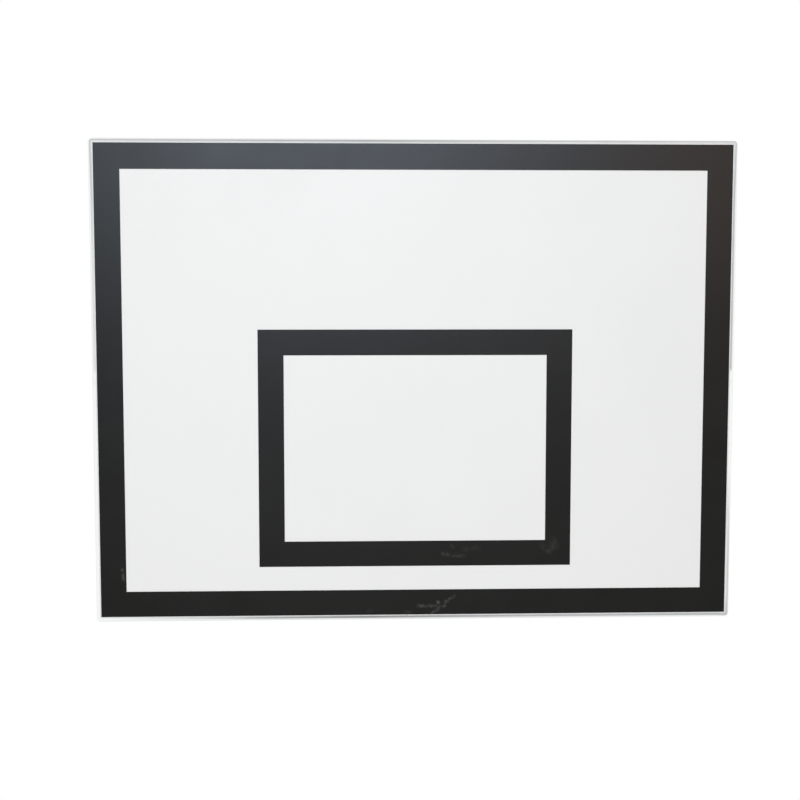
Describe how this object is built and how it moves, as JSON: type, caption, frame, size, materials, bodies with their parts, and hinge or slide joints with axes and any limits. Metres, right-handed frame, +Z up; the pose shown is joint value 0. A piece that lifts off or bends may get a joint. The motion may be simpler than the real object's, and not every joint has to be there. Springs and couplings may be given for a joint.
{
  "type": "basketball backboard",
  "caption": "Rectangular basketball backboard with a white face, black border and target lines, aluminium edge trim, and a welded tube frame behind for a bracket and a ring.",
  "frame": {"origin": "centre of the four mounting slots, on the rear plane of the mounting bars, which is also the middle of the board's outline", "axes": "+X to the right as a player sees the board, +Z up, -Y out of the white face towards the court"},
  "size_m": [1.2, 0.0575, 0.9],
  "materials": {
    "plywood": "clear lacquer",
    "white_laminate": "satin",
    "black_film": "satin",
    "trim_aluminium": "anodised",
    "galvanised_steel": "hot-dip galvanised",
    "zinc_screw": "zinc plated",
    "plug_plastic": "moulded"
  },
  "bodies": {
    "root": {"board_core": "plywood", "face_sheet": "white_laminate", "border_line_top": "black_film", "border_line_bottom": "black_film", "border_line_left": "black_film", "border_line_right": "black_film", "target_line_top": "black_film", "target_line_bottom": "black_film", "target_line_left": "black_film", "target_line_right": "black_film", "edge_trim_upper": "trim_aluminium", "edge_trim_lower": "trim_aluminium", "trim_screws": "zinc_screw", "frame_top_rail": "galvanised_steel", "frame_left_stile": "galvanised_steel", "frame_right_stile": "galvanised_steel", "frame_bottom_rail_left": "galvanised_steel", "frame_bottom_rail_right": "galvanised_steel", "frame_upright_left": "galvanised_steel", "frame_upright_right": "galvanised_steel", "frame_side_rail_left": "galvanised_steel", "frame_side_rail_right": "galvanised_steel", "ring_plate": "galvanised_steel", "mounting_bar_upper": "galvanised_steel", "mounting_bar_lower": "galvanised_steel", "corner_gusset_top_left": "galvanised_steel", "corner_gusset_top_right": "galvanised_steel", "corner_gusset_bottom_left": "galvanised_steel", "corner_gusset_bottom_right": "galvanised_steel", "fixing_tab_top_left": "galvanised_steel", "fixing_tab_top_centre": "galvanised_steel", "fixing_tab_top_right": "galvanised_steel", "fixing_tab_bottom_left": "galvanised_steel", "fixing_tab_bottom_right": "galvanised_steel", "fixing_tab_left_upper": "galvanised_steel", "fixing_tab_left_lower": "galvanised_steel", "fixing_tab_right_upper": "galvanised_steel", "fixing_tab_right_lower": "galvanised_steel", "upright_plug_left": "plug_plastic", "upright_plug_right": "plug_plastic", "panel_screws": "zinc_screw"}
  },
  "joints": []
}
